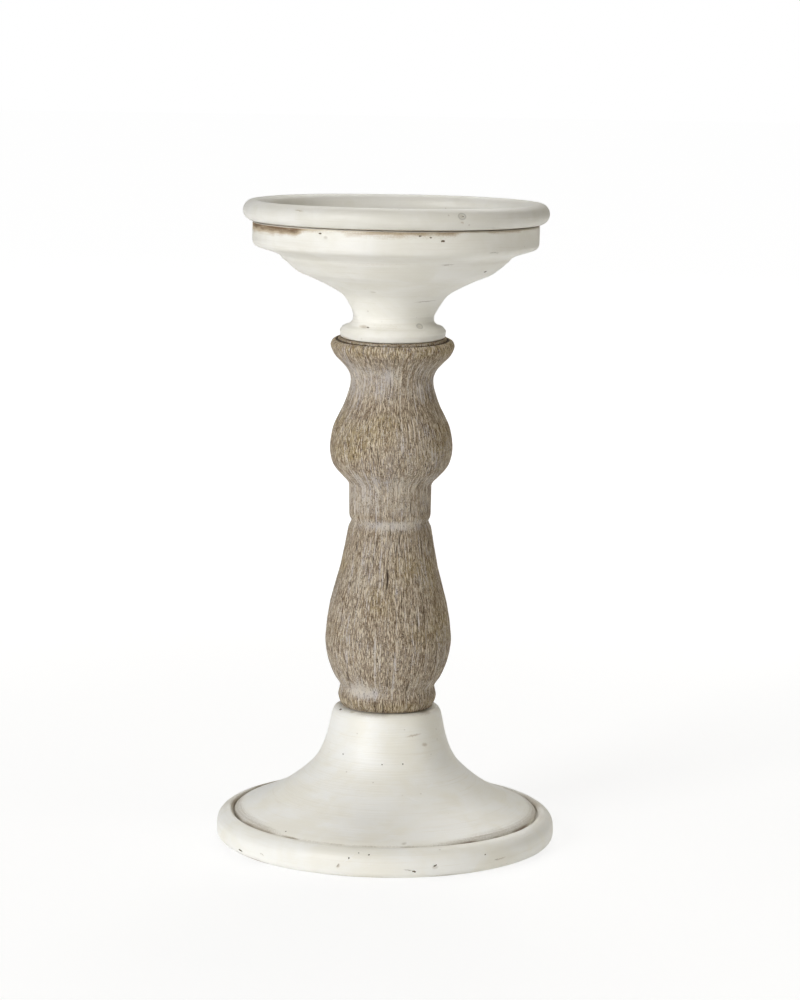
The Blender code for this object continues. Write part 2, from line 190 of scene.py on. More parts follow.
class Nodes:
    """A short way to build one material's node tree."""

    def __init__(self, name):
        self.material = bpy.data.materials.new(name)
        self.material.use_nodes = True
        self.tree = self.material.node_tree
        self.shader = self.tree.nodes["Principled BSDF"]

    def add(self, kind, inputs=(), **settings):
        node = self.tree.nodes.new(kind)
        for key, value in settings.items():
            setattr(node, key, value)
        for key, value in dict(inputs).items():
            self.feed(node.inputs[key], value)
        return node

    def feed(self, socket, value):
        if isinstance(value, bpy.types.NodeSocket):
            self.tree.links.new(value, socket)
        else:
            socket.default_value = value

    def surface(self, inputs):
        """Sets the shader's inputs, and gives back the material."""
        for name, value in inputs.items():
            self.feed(self.shader.inputs[name], value)
        return self.material

    def fields(self, *names):
        """Values that the mesh carries at each point."""
        nodes = [self.add("ShaderNodeAttribute", attribute_name=name) for name in names]
        return [node.outputs["Fac"] for node in nodes]

    def wrap(self):
        """The place on the skin, in millimetres."""
        return self.add("ShaderNodeAttribute", attribute_name="wrap").outputs["Vector"]

    def place(self):
        return self.add("ShaderNodeTexCoord").outputs["Object"]

    def far(self, vector):
        return self.add("ShaderNodeVectorMath", {0: vector}, operation="LENGTH").outputs["Value"]

    def scaled(self, vector, scale):
        node = self.add("ShaderNodeVectorMath", {0: vector, 1: scale}, operation="MULTIPLY")
        return node.outputs[0]

    def noise(self, vector, scale, detail=3.0, roughness=0.55, distortion=0.0):
        """Cloudy noise, with this many clouds to each unit of x, y and z."""
        where = {"Vector": self.scaled(vector, scale), "Scale": 1.0}
        kind = {"Detail": detail, "Roughness": roughness, "Distortion": distortion}
        return self.add("ShaderNodeTexNoise", {**where, **kind}).outputs["Fac"]

    def math(self, operation, a, b=0.0):
        return self.add("ShaderNodeMath", {0: a, 1: b}, operation=operation).outputs[0]

    def times(self, a, b):
        return self.math("MULTIPLY", a, b)

    def plus(self, a, b):
        return self.math("ADD", a, b)

    def swing(self, noise, amount):
        """A noise's rise above or fall below its middle, this many times over."""
        return self.times(self.math("SUBTRACT", noise, 0.5), amount)

    def ramp(self, value, low, high, start=0.0, end=1.0):
        node = self.add(
            "ShaderNodeMapRange",
            {"Value": value, "From Min": low, "From Max": high, "To Min": start, "To Max": end},
            interpolation_type="SMOOTHSTEP",
        )
        return node.outputs["Result"]

    def ragged(self, vector, reach):
        """The same place, shifted about by up to this many millimetres, for broken outlines."""
        noise = {"Vector": vector, "Scale": 1.1, "Detail": 3.0, "Roughness": 0.6}
        node = self.add("ShaderNodeTexNoise", noise)
        middle = {0: node.outputs["Color"], 1: (0.5, 0.5, 0.5)}
        centred = self.add("ShaderNodeVectorMath", middle, operation="SUBTRACT")
        far = self.scaled(centred.outputs[0], (2 * reach, 2 * reach, 2 * reach))
        return self.add("ShaderNodeVectorMath", {0: vector, 1: far}, operation="ADD").outputs[0]

    def marked(self, vector, skin, marks, wanted, edge, core):
        """1 inside the marks of this kind, and 0 away from them."""
        total = 0.0
        for kind, degrees, radius, height, wide, tall, lean in marks:
            if kind != wanted:
                continue
            spot, angle = skin.place(degrees, radius, height)
            local = self.add("ShaderNodeMapping", {"Vector": vector}, vector_type="TEXTURE")
            local.inputs["Location"].default_value = spot
            local.inputs["Rotation"].default_value = (math.radians(lean), 0.0, angle)
            local.inputs["Scale"].default_value = (12.0, wide, tall)
            total = self.math("MAXIMUM", self.ramp(self.far(local.outputs[0]), edge, core), total)
        return total

    def mix(self, factor, a, b):
        node = self.add("ShaderNodeMix", data_type="RGBA", clamp_factor=True)
        self.feed(node.inputs["Factor"], factor)
        self.feed(node.inputs["A"], a)
        self.feed(node.inputs["B"], b)
        return node.outputs["Result"]

    def bump(self, height, distance, normal=None):
        node = self.add("ShaderNodeBump", {"Height": height, "Distance": distance, "Strength": 1.0})
        if normal is not None:
            self.feed(node.inputs["Normal"], normal)
        return node.outputs["Normal"]


def rgb(red, green, blue):
    """A display colour from 0 to 255, as linear light."""
    channels = [c / 255.0 for c in (red, green, blue)]
    return tuple(c / 12.92 if c <= 0.04045 else ((c + 0.055) / 1.055) ** 2.4 for c in channels) + (1.0,)


# -------- materials

WHITE = (1.0, 1.0, 1.0, 1.0)
BLACK = (0.0, 0.0, 0.0, 1.0)
OLIVE_BROWN = (170, 146, 106)
# On the bell and plinth this grey brown also colours the painted shade and shadow.
GREY_GLAZE_AND_SHADE = (152, 138, 118)  # the base's glaze is greyer than the bowl's


def floor_paper(name, shades, glow, far_glow):
    """Matt white paper, a little brighter away from the object."""
    m = Nodes(name)
    mottle = m.noise(m.place(), (3.0, 3.0, 3.0), 4.0)
    return m.surface({
        "Base Color": m.mix(m.ramp(mottle, 0.3, 0.7), rgb(*shades[0]), rgb(*shades[1])),
        "Roughness": 0.9,
        "Specular IOR Level": 0.2,
        "Emission Strength": m.ramp(m.far(m.place()), 0.10, 1.2, glow, far_glow),
        "Emission Color": WHITE,
    })


def backdrop_paper():
    m = Nodes("backdrop_paper")
    return m.surface(
        {"Base Color": BLACK, "Specular IOR Level": 0.0, "Emission Color": WHITE, "Emission Strength": 1.0}
    )


def cream_paint(name, skin, marks, painted_light_tone, glaze):
    """Satin off-white, brushed round the turning, with glaze in the hollows and chips down to the wood.
    The tone lightens or darkens this piece's coat as painted light: the low base pieces are made lighter and the
    dish at the top darker, for how the light falls on them."""
    m = Nodes(name)
    wrap = m.wrap()
    glaze_and_shade, painted_shade = m.fields("glaze_and_shade", "painted_shade")
    ragged = m.ragged(wrap, 0.55)

    def coat(*channels):
        return rgb(*(min(painted_light_tone * c, 250.0) for c in channels))

    def marked(kind, edge, core, where=ragged):
        return m.marked(where, skin, marks, kind, edge, core)

    strokes = m.noise(wrap, (0.035, 0.035, 1.5), 4.0, 0.6)
    fine_strokes = m.noise(wrap, (0.10, 0.10, 4.0), 3.0, 0.6)
    clouds = m.noise(wrap, (0.045, 0.045, 0.06), 4.0, 0.6, 0.4)
    grit = m.noise(wrap, (1.6, 1.6, 2.2), 4.0, 0.65)

    colour = m.mix(m.ramp(clouds, 0.34, 0.68), coat(241, 240, 235), coat(233, 231, 222))
    colour = m.mix(m.ramp(strokes, 0.52, 0.80, 0.0, 0.55), colour, coat(225, 221, 209))
    colour = m.mix(m.ramp(fine_strokes, 0.55, 0.85, 0.0, 0.4), colour, coat(246, 246, 242))
    # Painted shade: the coat is greyed down in the dish's hollow.
    colour = m.mix(m.times(painted_shade, 0.6), colour, rgb(196, 196, 192))

    # The glaze field is real glaze in the hollows; on the bell and plinth it also carries painted shade and
    # shadow. Grit and strokes break it up.
    glaze_wear_and_shade = m.plus(m.plus(glaze_and_shade, m.swing(grit, 0.55)), m.swing(strokes, 0.35))
    wash = m.ramp(glaze_wear_and_shade, 0.12, 0.75, 0.0, 0.75)
    colour = m.mix(wash, colour, rgb(*glaze))
    colour = m.mix(m.ramp(glaze_wear_and_shade, 0.62, 1.15, 0.0, 0.9), colour, rgb(104, 78, 50))

    cells = m.add("ShaderNodeTexVoronoi", {"Vector": m.scaled(wrap, (0.16, 0.16, 0.16)), "Scale": 1.0})
    speck = m.times(m.ramp(cells.outputs["Distance"], 0.075, 0.045), m.ramp(clouds, 0.47, 0.55))
    colour = m.mix(m.times(speck, 0.25), colour, rgb(120, 98, 72))

    colour = m.mix(m.times(marked(GLAZE, 1.1, 0.2), 0.42), colour, rgb(150, 124, 84))
    colour = m.mix(m.times(marked(DENT, 1.2, 0.3, wrap), 0.35), colour, rgb(150, 140, 118))
    band = m.math("SUBTRACT", marked(RING, 1.5, 1.15, wrap), marked(RING, 1.0, 0.7, wrap))
    colour = m.mix(m.times(band, 0.45), colour, rgb(140, 138, 130))
    colour = m.mix(m.times(marked(LINE, 1.0, 0.5), 0.5), colour, rgb(120, 104, 80))
    colour = m.mix(m.times(marked(SCRATCH, 1.0, 0.5), 0.4), colour, coat(250, 249, 246))
    bare = marked(CHIP, 0.95, 0.75)
    wood = m.mix(m.ramp(grit, 0.3, 0.7), rgb(62, 50, 38), rgb(118, 96, 70))

    brushed = m.bump(fine_strokes, 0.05 * MM, m.bump(strokes, 0.10 * MM))
    rough = m.plus(m.ramp(fine_strokes, 0.2, 0.8, 0.36, 0.50), m.times(wash, 0.15))
    return m.surface({
        "Base Color": m.mix(bare, colour, wood),
        "Roughness": m.plus(rough, m.times(bare, 0.35)),
        "Normal": m.bump(m.math("SUBTRACT", 1.0, bare), 0.20 * MM, brushed),
    })


def whitewashed_wood():
    """Weathered greyish wood with open grain: a broken white wash lies in it, and dark flecks lie between."""
    m = Nodes("whitewashed_wood")
    wrap = m.wrap()
    wash, dark, ochre = m.fields("wash", "dark", "ochre")

    streaks = m.noise(wrap, (1.5, 1.5, 0.09), 4.0, 0.65, 0.3)
    fibres = m.noise(wrap, (3.1, 3.1, 0.46), 3.0, 0.6)
    dashes = m.noise(wrap, (3.2, 3.2, 0.40), 2.0, 0.5, 0.1)
    blotches = m.noise(wrap, (0.30, 0.30, 0.16), 4.0, 0.65, 0.5)
    flecks = m.noise(wrap, (1.9, 1.9, 0.50), 2.0, 0.5, 0.7)
    clouds = m.noise(wrap, (0.07, 0.07, 0.05), 4.0, 0.6, 0.5)
    grit = m.noise(wrap, (2.6, 2.6, 1.7), 4.0, 0.7)

    colour = m.mix(m.ramp(streaks, 0.35, 0.68), rgb(132, 117, 99), rgb(176, 161, 140))
    warm = m.plus(ochre, m.swing(clouds, 1.6))
    for value, low, high, most, tint in (
        (clouds, 0.42, 0.66, 0.60, (147, 130, 113)),
        (warm, 0.15, 1.0, 0.80, (155, 137, 98)),
        (blotches, 0.50, 0.64, 0.66, (112, 88, 60)),
        (fibres, 0.47, 0.62, 0.90, (90, 69, 51)),
        (dashes, 0.51, 0.60, 0.78, (219, 206, 182)),
        (grit, 0.55, 0.67, 0.50, (214, 202, 178)),
    ):
        colour = m.mix(m.ramp(value, low, high, 0.0, most), colour, rgb(*tint))

    cover = m.plus(m.plus(wash, m.swing(grit, 1.5)), m.swing(fibres, 1.0))
    white = m.mix(m.ramp(clouds, 0.35, 0.65), rgb(196, 192, 194), rgb(214, 206, 192))
    colour = m.mix(m.ramp(cover, 0.10, 0.95, 0.0, 0.9), colour, white)
    gaps = m.times(m.ramp(flecks, 0.53, 0.63), m.ramp(grit, 0.58, 0.42))
    sunk = m.math("MAXIMUM", m.ramp(dark, 0.15, 0.8, 0.0, 0.9), m.times(gaps, 0.75))
    return m.surface({
        "Base Color": m.mix(sunk, colour, rgb(62, 47, 34)),
        "Roughness": m.ramp(cover, 0.0, 1.0, 0.66, 0.86),
        "Specular IOR Level": 0.35,
        "Normal": m.bump(grit, 0.14 * MM, m.bump(fibres, 0.16 * MM)),
    })


def beech():
    m = Nodes("beech")
    grain = m.noise(m.place(), (900.0, 900.0, 60.0), 4.0)
    flecks = m.noise(m.place(), (2400.0, 2400.0, 300.0), 2.0)
    colour = m.mix(m.ramp(grain, 0.3, 0.7), rgb(196, 160, 120), rgb(222, 190, 150))
    return m.surface({
        "Base Color": m.mix(m.ramp(flecks, 0.6, 0.8, 0.0, 0.6), colour, rgb(150, 112, 78)),
        "Roughness": m.ramp(grain, 0.3, 0.7, 0.55, 0.7),
        "Normal": m.bump(grain, 0.05 * MM),
    })


def zinc_steel():
    m = Nodes("zinc_steel")
    spangle = m.noise(m.place(), (500.0, 500.0, 500.0), 3.0)
    scratches = m.noise(m.place(), (2500.0, 300.0, 2500.0), 2.0)
    colour = m.mix(m.ramp(spangle, 0.3, 0.7), rgb(176, 178, 180), rgb(206, 208, 208))
    return m.surface({
        "Base Color": m.mix(m.ramp(spangle, 0.66, 0.8, 0.0, 0.5), colour, rgb(150, 142, 128)),
        "Metallic": 1.0,
        "Roughness": m.ramp(scratches, 0.2, 0.8, 0.25, 0.45),
        "Normal": m.bump(scratches, 0.02 * MM),
    })


def grey_felt():
    m = Nodes("grey_felt")
    wool = m.noise(m.place(), (1800.0, 1800.0, 1800.0), 5.0, 0.7, 1.5)
    clumps = m.noise(m.place(), (350.0, 350.0, 350.0), 3.0)
    colour = m.mix(m.ramp(wool, 0.3, 0.7), rgb(66, 63, 60), rgb(112, 108, 102))
    return m.surface({
        "Base Color": m.mix(m.ramp(clumps, 0.4, 0.7, 0.0, 0.4), colour, rgb(84, 80, 76)),
        "Roughness": 0.95,
        "Sheen Weight": 0.3,
        "Normal": m.bump(wool, 0.25 * MM),
    })


# -------- outlines from the frame

CORNER = 28.0  # degrees; a sharper turn in an outline is an arris
EASE = 0.35  # how far back from an arris its rounding starts


def section(node, at, solid=False):
    """The node's outline in the half plane at this angle, clear of screw and dowel holes, as (radius, height)
    points from the top. A bored piece's is closed. A solid piece's runs from the axis out and down, and back."""
    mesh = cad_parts[node].data
    raw = np.array([vertex.co for vertex in mesh.vertices]) / MM
    points, index = np.unique(raw.round(3), axis=0, return_inverse=True)
    index = index.reshape(-1)
    radius = np.hypot(points[:, 0], points[:, 1])
    off = (np.degrees(np.arctan2(points[:, 1], points[:, 0])) - at + 180.0) % 360.0 - 180.0
    near = (np.abs(off) < 0.3) & (radius > 0.01)
    links = {int(i): set() for i in np.flatnonzero(near)}
    for edge in mesh.edges:
        a, b = (int(index[i]) for i in edge.vertices)
        if near[a] and near[b] and a != b:
            links[a].add(b)
            links[b].add(a)
    flat = np.column_stack([radius, points[:, 2]])
    join_ends(links, flat, 2 if solid else 0)
    walk = flat[walk_from(top_end(links, flat, solid), links, flat)]
    if solid:
        walk = np.vstack([(0.0, walk[0, 1]), walk, (0.0, walk[-1, 1])])
    return walk


def join_ends(links, flat, spare):
    """Where a flat face was cut another way the outline has a break, and the nearest ends are joined."""
    while True:
        ends = [i for i, to in links.items() if len(to) < 2]
        if len(ends) <= spare:
            return
        pairs = [(a, b) for a in ends for b in ends if a < b and b not in links[a]]
        a, b = min(pairs, key=lambda pair: math.dist(flat[pair[0]], flat[pair[1]]))
        links[a].add(b)
        links[b].add(a)


def top_end(links, flat, solid):
    choice = [i for i, to in links.items() if len(to) < 2] if solid else list(links)
    return max(choice, key=lambda i: (flat[i, 1], flat[i, 0]))


def walk_from(start, links, flat):
    """Follows the outline outwards and down its outer side."""
    walk = [start]
    step = max(links[start], key=lambda i: (flat[i, 0], flat[i, 1]))
    while step != start:
        onward = [i for i in links[step] if i != walk[-1]]
        walk.append(step)
        if not onward:
            break
        step = onward[0]
    return walk


# -------- turning a piece again, finely

STRAIGHT = 6.5  # a longer step in an outline is a flat or a cylinder
TOP_ASIDE = 0.7  # how far the dish and the bowl sit off the axis
SEAM_TILT = 1.0  # how far the bowl's foot is low in front, at its edge
COARSE = 99.0  # the pitch where nothing shows
BAKED_STEP = 1.6  # the most room that one row gets in the unrolled skin
DRIFT_ROWS = 700  # how many random values drift has along a piece


def outline_ways(walk, closed):
    """Each step's length, and for each point whether it is an arris, and the ways in and out of it."""
    count = len(walk)
    steps = count if closed else count - 1
    ahead = np.array([walk[(i + 1) % count] - walk[i] for i in range(steps)])
    length = np.linalg.norm(ahead, axis=1)
    way = ahead / length[:, None]
    sharp = np.zeros(count, bool)
    into, out = np.zeros((count, 2)), np.zeros((count, 2))
    for i in range(count):
        before, after = i - 1, i % steps
        if not closed and i in (0, count - 1):
            into[i] = out[i] = way[min(i, steps - 1)]
            continue
        bend = math.degrees(math.acos(np.clip(way[before] @ way[after], -1.0, 1.0)))
        sharp[i] = bend > CORNER
        if sharp[i]:
            into[i], out[i] = way[before], way[after]
        elif length[before] > STRAIGHT or length[after] > STRAIGHT:
            into[i] = out[i] = way[before if length[before] > length[after] else after]
        else:
            mean = way[before] * length[after] + way[after] * length[before]
            into[i] = out[i] = mean / np.linalg.norm(mean)
    return length, sharp, into, out


def on_step(walk, i, length, into, out, t):
    """A point part of the way along a step: straight if the step is long, and a smooth curve if not."""
    a, b = walk[i], walk[(i + 1) % len(walk)]
    if length[i] > STRAIGHT:
        return a + (b - a) * t
    start, end = out[i] * length[i], into[(i + 1) % len(walk)] * length[i]
    return (
        a * (2 * t**3 - 3 * t**2 + 1)
        + start * (t**3 - 2 * t**2 + t)
        + b * (3 * t**2 - 2 * t**3)
        + end * (t**3 - t**2)
    )


def fine_outline(walk, closed, pitch):
    """The outline again at a finer pitch, with its curves smoothed and its arrises eased."""
    length, sharp, into, out = outline_ways(walk, closed)
    count = len(walk)
    rows = []

    def eased(i, corner):
        """The share of step i that an eased arris at this corner takes up."""
        return min(EASE, 0.35 * length[i]) / length[i] if sharp[corner] else 0.0

    for i in range(len(length)):
        after = (i + 1) % count
        middle = (walk[i] + walk[after]) / 2
        steps = max(1, math.ceil(length[i] / pitch(*middle)))
        share = np.linspace(eased(i, i), 1.0 - eased(i, after), steps + 1)
        if rows and not sharp[i]:
            share = share[1:]
        rows.extend(on_step(walk, i, length, into, out, t) for t in share)
        if sharp[after] and (closed or after):
            begin = rows[-1]
            end = on_step(walk, after, length, into, out, eased(after, after))
            for t in (0.3, 0.7):
                rows.append(begin * (1 - t) ** 2 + walk[after] * 2 * t * (1 - t) + end * t**2)
    if closed and not sharp[0]:
        rows.pop()
    return np.array(rows)


class Surface:
    """A turned piece's skin as a grid, rows down the outline and columns round the axis."""

    def __init__(self, node, at, pitch, columns, solid=False, even=None):
        self.node = node
        self.closed = not solid
        rows = fine_outline(section(node, at, solid), self.closed, pitch)
        self.rows = rows
        self.angle = np.arange(columns)[None, :] * TURN / columns
        self.radius = rows[:, :1]
        self.height = rows[:, 1:]
        steps = np.linalg.norm(np.roll(rows, -1, axis=0) - rows, axis=1)
        self.along = np.concatenate([[0.0], np.cumsum(steps[:-1])])[:, None]
        ahead = np.roll(rows, -1, axis=0) - np.roll(rows, 1, axis=0)
        if solid:
            ahead[0], ahead[-1] = (1.0, 0.0), (-1.0, 0.0)
        ahead /= np.maximum(np.linalg.norm(ahead, axis=1), 1e-9)[:, None]
        self.out = np.column_stack([-ahead[:, 1], ahead[:, 0]])
        self.even = even
        self.relief = np.zeros((len(rows), columns))
        self.lift = 0.0  # how far each point is raised
        self.aside = 0.0  # how far each point is moved to the right
        self.fields = {}

    def wrap(self, angle, radius, along):
        """A place on the skin as a point for the materials, in millimetres."""
        reach = radius if self.even is None else self.even
        return np.stack(np.broadcast_arrays(reach * np.cos(angle), reach * np.sin(angle), along), axis=-1)

    def place(self, degrees, radius, height):
        """The same for one named place, on the outline's nearest point, and its angle."""
        row, angle = self.nearest(radius, height), math.radians(degrees)
        return [float(x) for x in self.wrap(angle, self.radius[row, 0], self.along[row, 0])], angle

    def nearest(self, radius, height):
        return int(np.argmin(np.hypot(self.radius[:, 0] - radius, self.height[:, 0] - height)))

    def near(self, degrees, radius, height):
        """How far each point is from a place: round the piece, and along its outline."""
        row = self.nearest(radius, height)
        turned = (self.angle - math.radians(degrees) + math.pi) % TURN - math.pi
        return turned * self.radius, (self.along - self.along[row, 0]) + 0.0 * turned

    def mesh(self):
        """The skin as a mesh object, pushed out by its relief."""
        rows, columns = self.relief.shape
        reach = self.radius + self.out[:, :1] * self.relief
        reach = np.where(self.radius > 0.01, np.maximum(reach, 0.05), 0.0)
        height = self.height + self.out[:, 1:] * self.relief + self.lift
        across, back = reach * np.cos(self.angle) + self.aside, reach * np.sin(self.angle)
        points = np.stack([across, back, height], axis=-1)
        grid = np.arange(rows * columns).reshape(rows, columns)
        if not self.closed:
            grid[0, :] = grid[0, 0]
            grid[-1, :] = grid[-1, 0]
        upper = grid if self.closed else grid[:-1]
        lower = np.roll(grid, -1, axis=0) if self.closed else grid[1:]
        faces = np.stack([upper, lower, np.roll(lower, -1, 1), np.roll(upper, -1, 1)], axis=-1).reshape(-1, 4)
        mesh = bpy.data.meshes.new(self.node + "_turned")
        lists = [list(dict.fromkeys(face)) for face in faces.tolist()]
        mesh.from_pydata((points.reshape(-1, 3) * MM).tolist(), [], lists)
        self.put(mesh, "wrap", self.wrap(self.angle, self.radius, self.along), "FLOAT_VECTOR", "vector")
        for name, values in self.fields.items():
            self.put(mesh, name, np.broadcast_to(values, self.relief.shape), "FLOAT", "value")
        self.lay_out(mesh)
        mesh.polygons.foreach_set("use_smooth", [True] * len(mesh.polygons))
        return mesh

    def put(self, mesh, name, values, kind, slot):
        attribute = mesh.attributes.new(name, kind, "POINT")
        attribute.data.foreach_set(slot, np.ascontiguousarray(values, np.float32).ravel())

    def lay_out(self, mesh):
        """Unrolls the skin for baking: once round is the width, and the rows share out the height."""
        rows, columns = self.relief.shape
        steps = np.linalg.norm(np.roll(self.rows, -1, axis=0) - self.rows, axis=1)
        steps = np.minimum(steps, BAKED_STEP)
        if not self.closed:
            steps = steps[:-1]
        v = np.concatenate([[0.0], np.cumsum(steps)])
        v = v / v[-1]
        layer = mesh.uv_layers.new(name="OFBake")
        spots = np.empty(len(mesh.loops), np.int32)
        mesh.loops.foreach_get("vertex_index", spots)
        row, column = spots // columns, spots % columns
        starts = np.empty(len(mesh.polygons), np.int32)
        sizes = np.empty(len(mesh.polygons), np.int32)
        mesh.polygons.foreach_get("loop_start", starts)
        mesh.polygons.foreach_get("loop_total", sizes)
        face = np.repeat(np.arange(len(starts)), sizes)
        pole = np.zeros(len(spots), bool) if self.closed else (row == 0) | (row == rows - 1)
        highest = np.full(len(starts), -1)
        lowest = np.full(len(starts), columns * 2)
        np.maximum.at(highest, face[~pole], column[~pole])
        np.minimum.at(lowest, face[~pole], column[~pole])
        over = (highest[face] == columns - 1) & (column == 0) & (lowest[face] == 0)
        u = (column + np.where(over, columns, 0)).astype(float)
        at_seam = np.where(lowest == 0, columns - 0.5, columns)
        middle = np.where(highest == columns - 1, at_seam, (highest + lowest) / 2)
        u = np.where(pole, middle[face], u)
        top_row = np.full(len(starts), -1)
        np.maximum.at(top_row, face, row)
        wrapped = self.closed & (row == 0) & (top_row[face] == rows - 1)
        v_at = np.where(wrapped, 1.0, v[np.where(wrapped, 0, row)])
        layer.data.foreach_set("uv", np.column_stack([u / columns, v_at]).astype(np.float32).ravel())


def drift(seed, angle, along, turns, pitch):
    """Smooth random values from -1 to 1: this many round the piece, and one each pitch along it."""
    random = np.random.default_rng(seed)
    grid = random.uniform(-1.0, 1.0, (turns, DRIFT_ROWS))
    u = (angle / TURN * turns) % turns
    v = along / pitch + 40.0
    i, j = np.floor(u).astype(int), np.floor(v).astype(int)
    fu, fv = u - i, v - j
    fu, fv = fu * fu * (3 - 2 * fu), fv * fv * (3 - 2 * fv)
    i, more, j = i % turns, (i + 1) % turns, np.clip(j, 0, DRIFT_ROWS - 2)
    low = grid[i, j] * (1 - fu) + grid[more, j] * fu
    high = grid[i, j + 1] * (1 - fu) + grid[more, j + 1] * fu
    return low * (1 - fv) + high * fv


def around(seed, angle, turns):
    """The same, varying only round the piece."""
    return drift(seed, angle, 0.0 * angle, turns, 9.0)


def rise(value, start, end):
    """0 before start, 1 past end, smooth between."""
    t = np.clip((value - start) / (end - start), 0.0, 1.0)
    return t * t * (3 - 2 * t)


def between(value, start, full, ending, end):
    """0 outside start and end, 1 from full to ending, smooth between."""
    return rise(value, start, full) * (1.0 - rise(value, ending, end))


def arc_window(angle, start, end, soft):
    """1 between two angles in degrees, falling to 0 over soft degrees on each side."""
    middle, half = (start + end) / 2, (end - start) / 2
    off = np.abs((np.degrees(angle) - middle + 180.0) % 360.0 - 180.0)
    return 1.0 - rise(off, half, half + soft)


def bump_at(skin, place, wide, tall, lean=0.0):
    """1 at a place, falling away about wide round the piece and tall along it."""
    u, v = skin.near(*place)
    c, s = math.cos(math.radians(lean)), math.sin(math.radians(lean))
    return np.exp(-(((u * c + v * s) / wide) ** 2) - ((-u * s + v * c) / tall) ** 2)


def seam_tilt(angle, radius):
    """The bowl's foot and the column's top meet on a slant: low in front and high behind."""
    return SEAM_TILT * np.sin(angle) * radius / 21.0 * rise(radius, 12.0, 16.0)


# -------- marks on the paint

CHIP, GLAZE, DENT, LINE, RING, SCRATCH = "chip", "glaze", "dent", "line", "ring", "scratch"
DEPTH = {CHIP: 0.30, GLAZE: -0.06, DENT: 0.28, LINE: 0.10, RING: 0.0, SCRATCH: 0.14}

# Each mark: what it is, its angle in degrees (-90 is the front), radius and height, how wide it is
# round the piece and how tall along the outline, and its lean in degrees.
DISH_MARKS = [
    (DENT, -65.5, 59.4, 251.5, 1.3, 1.1, 0.0),
    (RING, -65.5, 59.4, 251.5, 1.3, 1.1, 0.0),
    (CHIP, -65.0, 59.5, 251.4, 0.32, 0.28, 0.0),
    (GLAZE, -65.5, 59.6, 249.2, 1.0, 0.5, 20.0),
    (GLAZE, -128.0, 58.9, 252.3, 2.6, 0.35, 4.0),
    (CHIP, 12.0, 59.7, 250.6, 0.9, 0.45, 10.0),
    (DENT, 96.0, 59.6, 250.9, 1.3, 0.9, 0.0),
    (GLAZE, 143.0, 59.4, 248.3, 2.4, 0.4, -6.0),
]
BOWL_MARKS = [
    (CHIP, -80.5, 56.0, 243.8, 0.7, 0.3, 0.0),
    (CHIP, -76.5, 56.0, 243.4, 0.45, 0.3, 0.0),
    (CHIP, -71.5, 56.0, 242.0, 0.9, 0.3, 0.0),
    (CHIP, -120.5, 56.0, 243.8, 0.8, 0.3, -10.0),
    (DENT, -118.0, 56.0, 242.5, 1.0, 0.7, 0.0),
    (LINE, -48.0, 55.9, 237.2, 3.2, 0.2, 0.0),
    (LINE, -64.0, 45.0, 232.2, 3.5, 0.3, 0.0),
    (CHIP, -32.5, 41.0, 228.5, 0.9, 0.45, 0.0),
    (DENT, -110.0, 24.5, 220.0, 1.4, 0.8, 0.0),
    (LINE, -51.5, 19.5, 216.3, 6.5, 0.24, -3.0),
    (GLAZE, -131.5, 17.2, 206.0, 3.2, 1.1, 6.0),
    (CHIP, -124.0, 17.2, 206.1, 0.7, 0.3, 0.0),
    (DENT, -51.5, 16.6, 206.5, 1.2, 0.9, 0.0),
    (RING, -51.5, 16.6, 206.5, 1.2, 0.9, 0.0),
    (CHIP, 30.0, 56.0, 243.6, 1.4, 0.4, 0.0),
    (CHIP, 84.0, 44.6, 231.7, 0.9, 0.5, 20.0),
    (LINE, 128.0, 20.4, 217.3, 5.0, 0.24, -4.0),
    (CHIP, 162.0, 55.8, 238.9, 0.8, 0.5, 0.0),
]
BELL_MARKS = [
    (CHIP, -131.0, 58.3, 12.5, 0.40, 0.35, 0.0),
    (CHIP, -132.0, 25.2, 37.7, 0.3, 0.3, 0.0),
    (CHIP, -93.0, 26.2, 35.4, 0.3, 0.25, 0.0),
    (CHIP, -75.0, 26.2, 35.4, 0.35, 0.25, 0.0),
    (SCRATCH, -57.5, 32.5, 27.4, 3.2, 0.35, -28.0),
    (SCRATCH, -73.0, 37.0, 23.6, 2.4, 0.3, 30.0),
    (GLAZE, -62.0, 22.6, 46.0, 4.0, 0.5, -6.0),
    (GLAZE, -50.5, 23.7, 41.8, 1.6, 1.1, 10.0),
    (DENT, -82.5, 58.8, 12.3, 1.3, 0.8, -30.0),
    (GLAZE, -133.0, 19.8, 53.6, 1.6, 0.9, 0.0),
    (CHIP, -155.5, 20.2, 53.4, 0.9, 0.5, 0.0),
    (CHIP, 18.0, 44.0, 19.0, 1.1, 0.5, 10.0),
    (CHIP, 77.0, 56.8, 13.1, 0.8, 0.4, 0.0),
    (LINE, 120.0, 36.5, 24.0, 4.0, 0.25, 22.0),
    (GLAZE, 165.0, 28.0, 32.0, 1.8, 0.7, 0.0),
]
